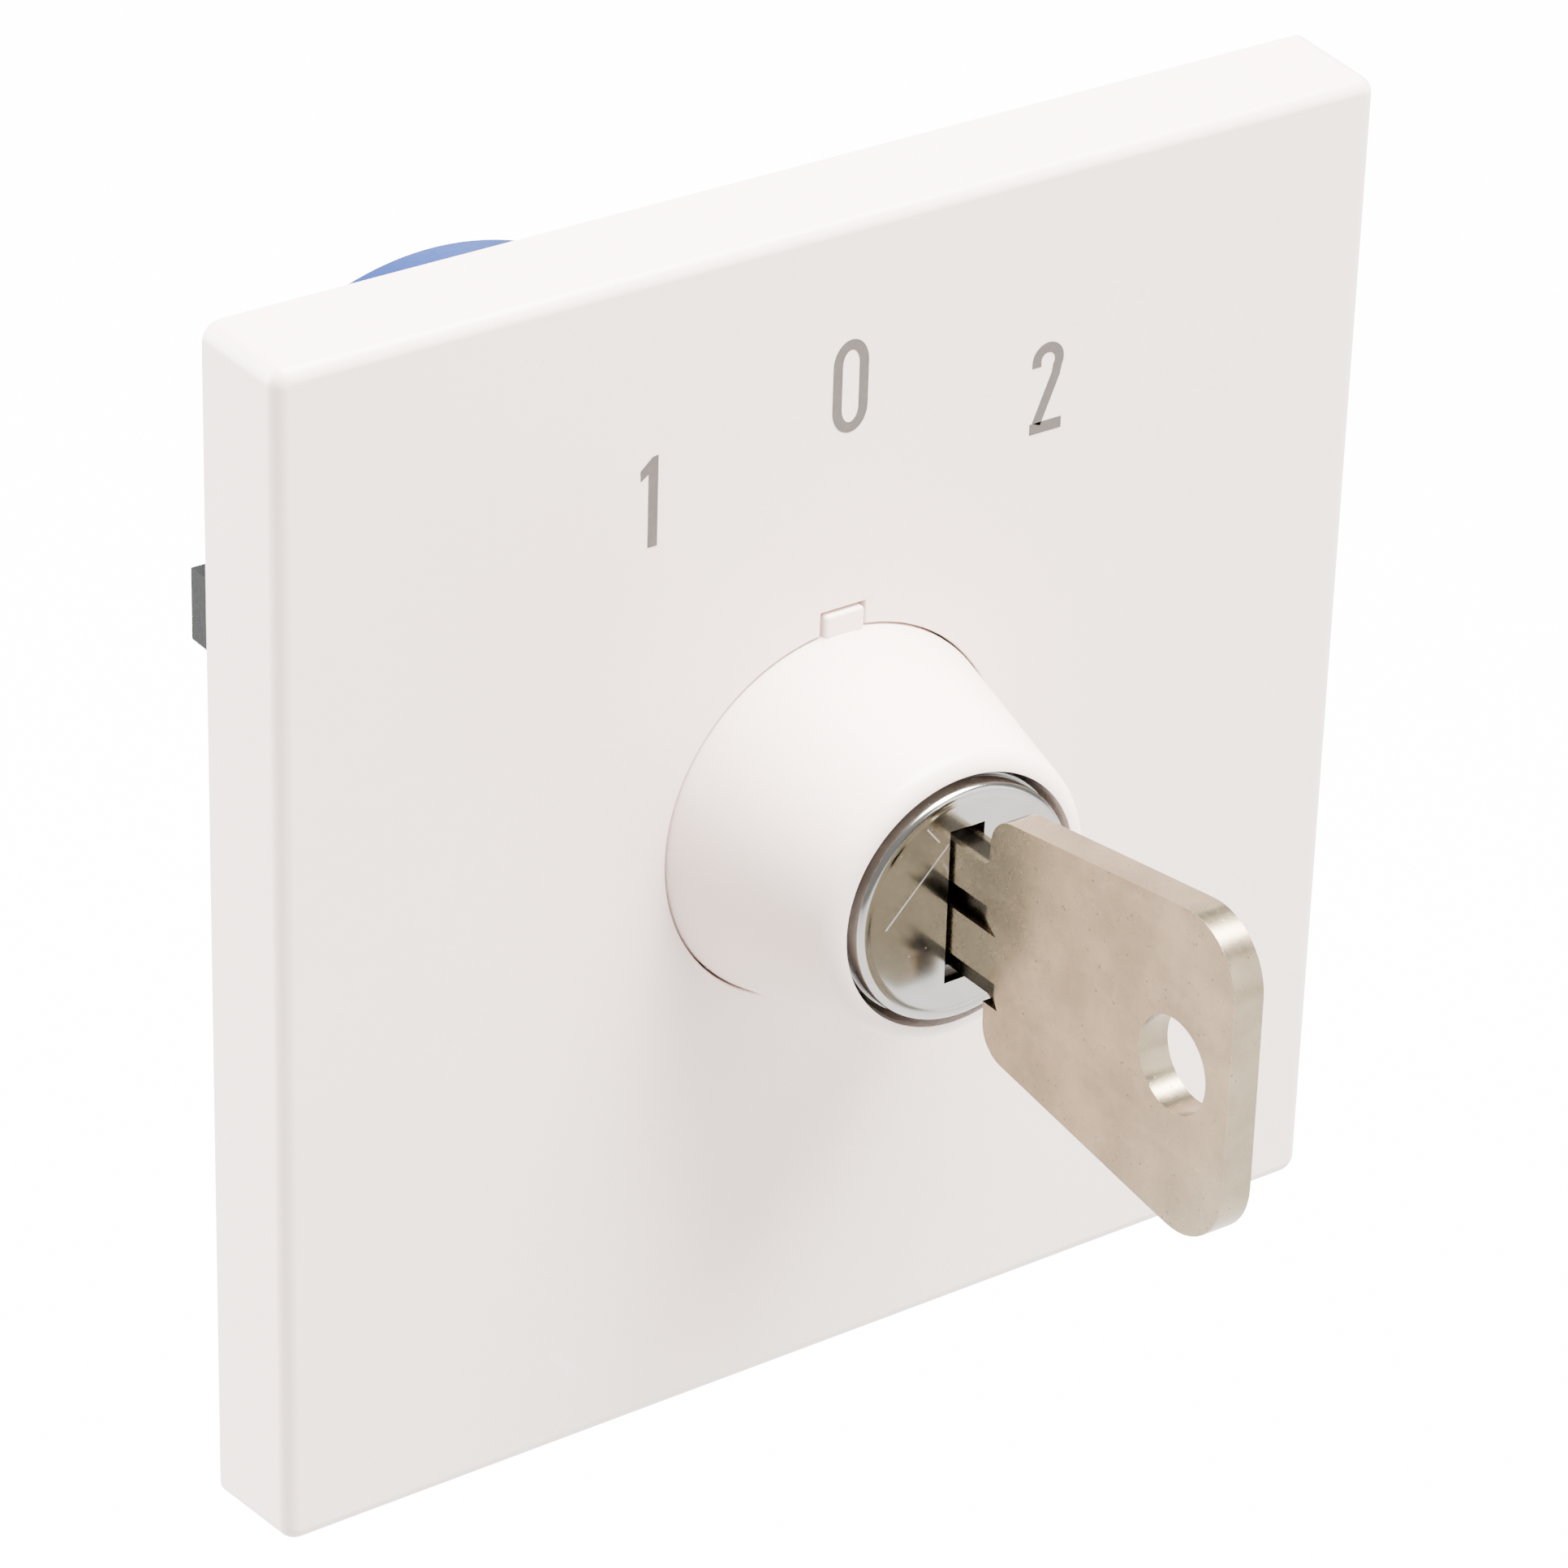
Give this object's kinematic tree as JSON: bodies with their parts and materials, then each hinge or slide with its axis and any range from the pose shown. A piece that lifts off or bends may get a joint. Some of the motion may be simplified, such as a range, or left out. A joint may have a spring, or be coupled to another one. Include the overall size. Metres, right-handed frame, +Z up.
{
  "type": "selector key switch",
  "caption": "Flush wall selector switch: square white plate, conical collar with a key lock at its centre, and a stacked cam switch with a blue rear cover behind.",
  "frame": {"origin": "centre of the wall box's screw pattern, on the wall's surface", "axes": "+X right as the user sees the plate, +Y into the wall, +Z up"},
  "size_m": [0.08, 0.0858, 0.08],
  "materials": {
    "plate_white": "smooth satin-gloss moulded plastic, warm white",
    "polished_chrome": "polished plate with fine scuffs",
    "nickel_silver": "worn nickel silver, faint speckle and wear on the edges",
    "lock_zinc": "die-cast zinc, plain plated",
    "brass": "plain stamped brass",
    "spring_steel": "drawn spring wire",
    "zinc_steel": "zinc-plated steel with a light spangle",
    "screw_steel": "zinc-plated screw steel",
    "housing_black": "black moulded thermoset with a fine grain",
    "cover_blue": "blue moulded plastic, satin",
    "inner_plastic": "natural moulded plastic",
    "silver_contact": "copper alloy strip with silver tips"
  },
  "bodies": {
    "switch_base": {"cover_plate": "plate_white", "lock_collar": "plate_white", "collar_screws": "screw_steel", "lock_barrel": "lock_zinc", "barrel_ring_nut": "lock_zinc", "support_frame": "zinc_steel", "latch_housing": "housing_black", "tie_nuts": "screw_steel", "detent_plungers": "inner_plastic", "detent_springs": "spring_steel", "rear_cover": "cover_blue", "tie_bolts": "screw_steel", "front_contact_housing": "housing_black", "front_terminals": "silver_contact", "front_terminal_screws": "screw_steel", "front_terminal_clamps": "screw_steel", "front_left_spring": "spring_steel", "front_right_spring": "spring_steel", "rear_contact_housing": "housing_black", "rear_terminals": "silver_contact", "rear_terminal_screws": "screw_steel", "rear_terminal_clamps": "screw_steel", "rear_left_spring": "spring_steel", "rear_right_spring": "spring_steel"},
    "rotor": {"lock_plug": "lock_zinc", "plug_face_cap": "polished_chrome", "wafers": "brass", "wafer_springs": "spring_steel", "plug_clip": "spring_steel", "drive_coupling": "inner_plastic", "switch_shaft": "zinc_steel", "star_wheel": "inner_plastic", "stop_plate": "zinc_steel", "front_cam": "inner_plastic", "rear_cam": "inner_plastic"},
    "key": {"key": "nickel_silver"},
    "front_left_contact": {"front_left_slider": "inner_plastic", "front_left_bridge": "silver_contact"},
    "front_right_contact": {"front_right_slider": "inner_plastic", "front_right_bridge": "silver_contact"},
    "rear_left_contact": {"rear_left_slider": "inner_plastic", "rear_left_bridge": "silver_contact"},
    "rear_right_contact": {"rear_right_slider": "inner_plastic", "rear_right_bridge": "silver_contact"}
  },
  "joints": [
    {"name": "key_turn", "type": "hinge", "parent": "switch_base", "child": "rotor", "pos_m": [0, 0, 0], "axis": [0, 1, 0], "range_deg": [-30, 30]},
    {"name": "key_withdraw", "type": "slide", "parent": "rotor", "child": "key", "axis": [0, -1, 0], "range_m": [0, 0.022]},
    {"name": "front_left_contact_travel", "type": "slide", "parent": "switch_base", "child": "front_left_contact", "axis": [1, 0, 0], "range_m": [-0.00101, 0.00101], "deforming": ["front_left_spring"]},
    {"name": "front_right_contact_travel", "type": "slide", "parent": "switch_base", "child": "front_right_contact", "axis": [1, 0, 0], "range_m": [-0.00101, 0.00101], "deforming": ["front_right_spring"]},
    {"name": "rear_left_contact_travel", "type": "slide", "parent": "switch_base", "child": "rear_left_contact", "axis": [1, 0, 0], "range_m": [-0.00101, 0.00101], "deforming": ["rear_left_spring"]},
    {"name": "rear_right_contact_travel", "type": "slide", "parent": "switch_base", "child": "rear_right_contact", "axis": [1, 0, 0], "range_m": [-0.00101, 0.00101], "deforming": ["rear_right_spring"]}
  ],
  "couplings": [
    {"joint": "front_left_contact_travel", "follows": "key_turn", "m_per_rad": -0.0019099},
    {"joint": "front_right_contact_travel", "follows": "key_turn", "m_per_rad": -0.0019099},
    {"joint": "rear_left_contact_travel", "follows": "key_turn", "m_per_rad": -0.0019099},
    {"joint": "rear_right_contact_travel", "follows": "key_turn", "m_per_rad": -0.0019099}
  ]
}
